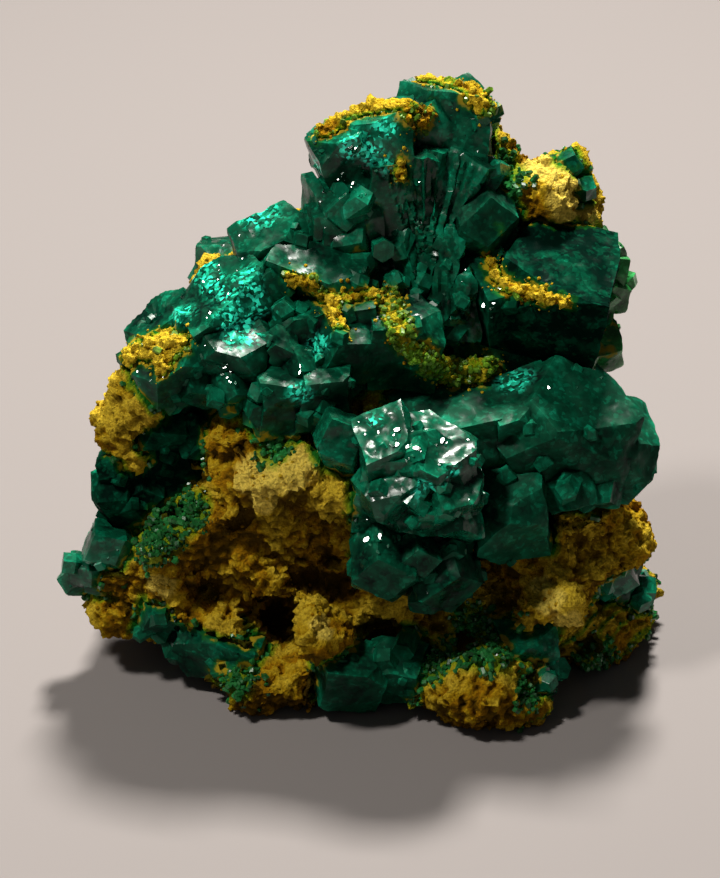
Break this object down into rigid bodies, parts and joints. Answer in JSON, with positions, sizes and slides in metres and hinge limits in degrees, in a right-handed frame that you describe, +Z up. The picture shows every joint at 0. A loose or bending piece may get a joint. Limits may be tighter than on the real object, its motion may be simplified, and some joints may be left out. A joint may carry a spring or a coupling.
{
  "type": "adamite specimen",
  "caption": "Mineral specimen: deep green blocky crystals covering the front and summit of a lump of ochre-yellow host rock, with strips of ochre crust and a flat broken base.",
  "frame": {"origin": "on the surface it stands on, under the centre of its bounding box", "axes": "+X to the right as its show side is seen, +Y to its back, +Z up; the show side, with the most crystals, faces -Y"},
  "size_m": [0.0912, 0.0614, 0.0862],
  "materials": {
    "ochre_rock": "rough, earthy, granular",
    "green_crystal": "glassy, deep green, almost opaque",
    "ochre_crust": "powdery",
    "lime_crust": "powdery, with fine green crystals"
  },
  "bodies": {
    "root": {"host_rock": "ochre_rock", "summit_crystals": "green_crystal", "shoulder_knob_crystals": "green_crystal", "upper_right_knob_crystal": "green_crystal", "right_block_crystal": "green_crystal", "vug_crystals": "green_crystal", "centre_crystals": "green_crystal", "left_dome_crystals": "green_crystal", "left_wall_crystals": "green_crystal", "left_foot_crystals": "green_crystal", "front_right_crystals": "green_crystal", "front_stack_crystals": "green_crystal", "lower_front_crystals": "green_crystal", "base_left_crystals": "green_crystal", "base_front_crystals": "green_crystal", "base_right_crystals": "green_crystal", "right_edge_crystals": "green_crystal", "right_rim_crystals": "green_crystal", "top_right_crystals": "green_crystal", "back_left_crystals": "green_crystal", "back_right_crystals": "green_crystal", "back_low_crystals": "green_crystal", "summit_crust": "ochre_crust", "summit_left_crust": "ochre_crust", "summit_spot_crust": "ochre_crust", "right_block_crust": "ochre_crust", "forked_crust": "ochre_crust", "dome_crust": "ochre_crust", "vug_crust": "lime_crust"}
  },
  "joints": []
}
